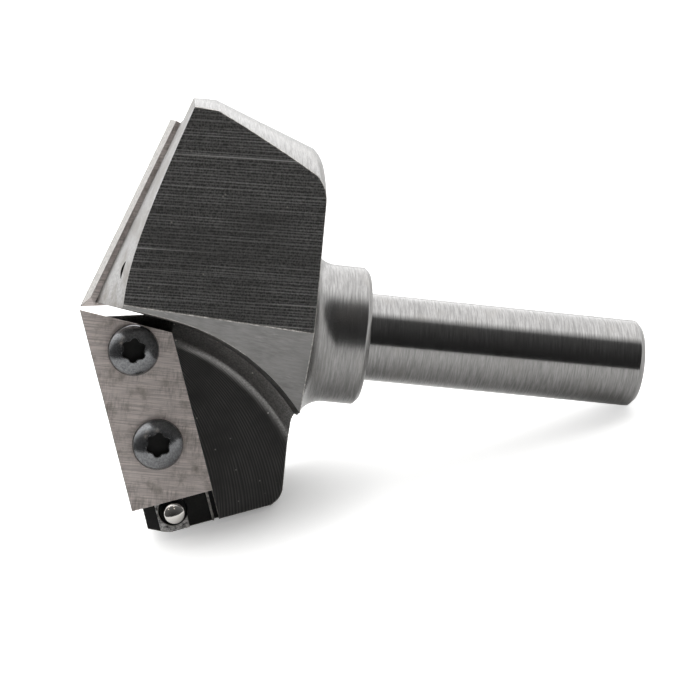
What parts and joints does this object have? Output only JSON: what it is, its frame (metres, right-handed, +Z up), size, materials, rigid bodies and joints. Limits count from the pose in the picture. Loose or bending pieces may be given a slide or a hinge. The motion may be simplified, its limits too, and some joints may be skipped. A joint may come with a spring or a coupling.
{
  "type": "v-groove router bit",
  "caption": "V-groove router bit: a one-piece steel body with a round shank carries two screwed-on carbide knives that cut a wide V.",
  "frame": {"origin": "centre of the footprint of the bounding box, on the surface that the bit lies on", "axes": "+Z up. The bit's axis lies in the XZ plane: the shank points to +X and dips 21.7 degrees, and the tip of the V is at the -X end. +Y is the side that the first knife's rake face looks away from"},
  "size_m": [0.0786, 0.032, 0.0606],
  "materials": {
    "ground_steel": "turned and milled tool steel, bare, with fine tool marks",
    "carbide": "ground sintered carbide, warm grey",
    "black_oxide_steel": "black oxide, oiled, glossy",
    "polished_steel": "polished hardened steel"
  },
  "bodies": {
    "root": {"body": "ground_steel", "knife_1": "carbide", "knife_2": "carbide", "knife_screw_1a": "black_oxide_steel", "knife_screw_1b": "black_oxide_steel", "knife_screw_2a": "black_oxide_steel", "knife_screw_2b": "black_oxide_steel", "stop_pin_1": "polished_steel", "stop_pin_2": "polished_steel"}
  },
  "joints": []
}
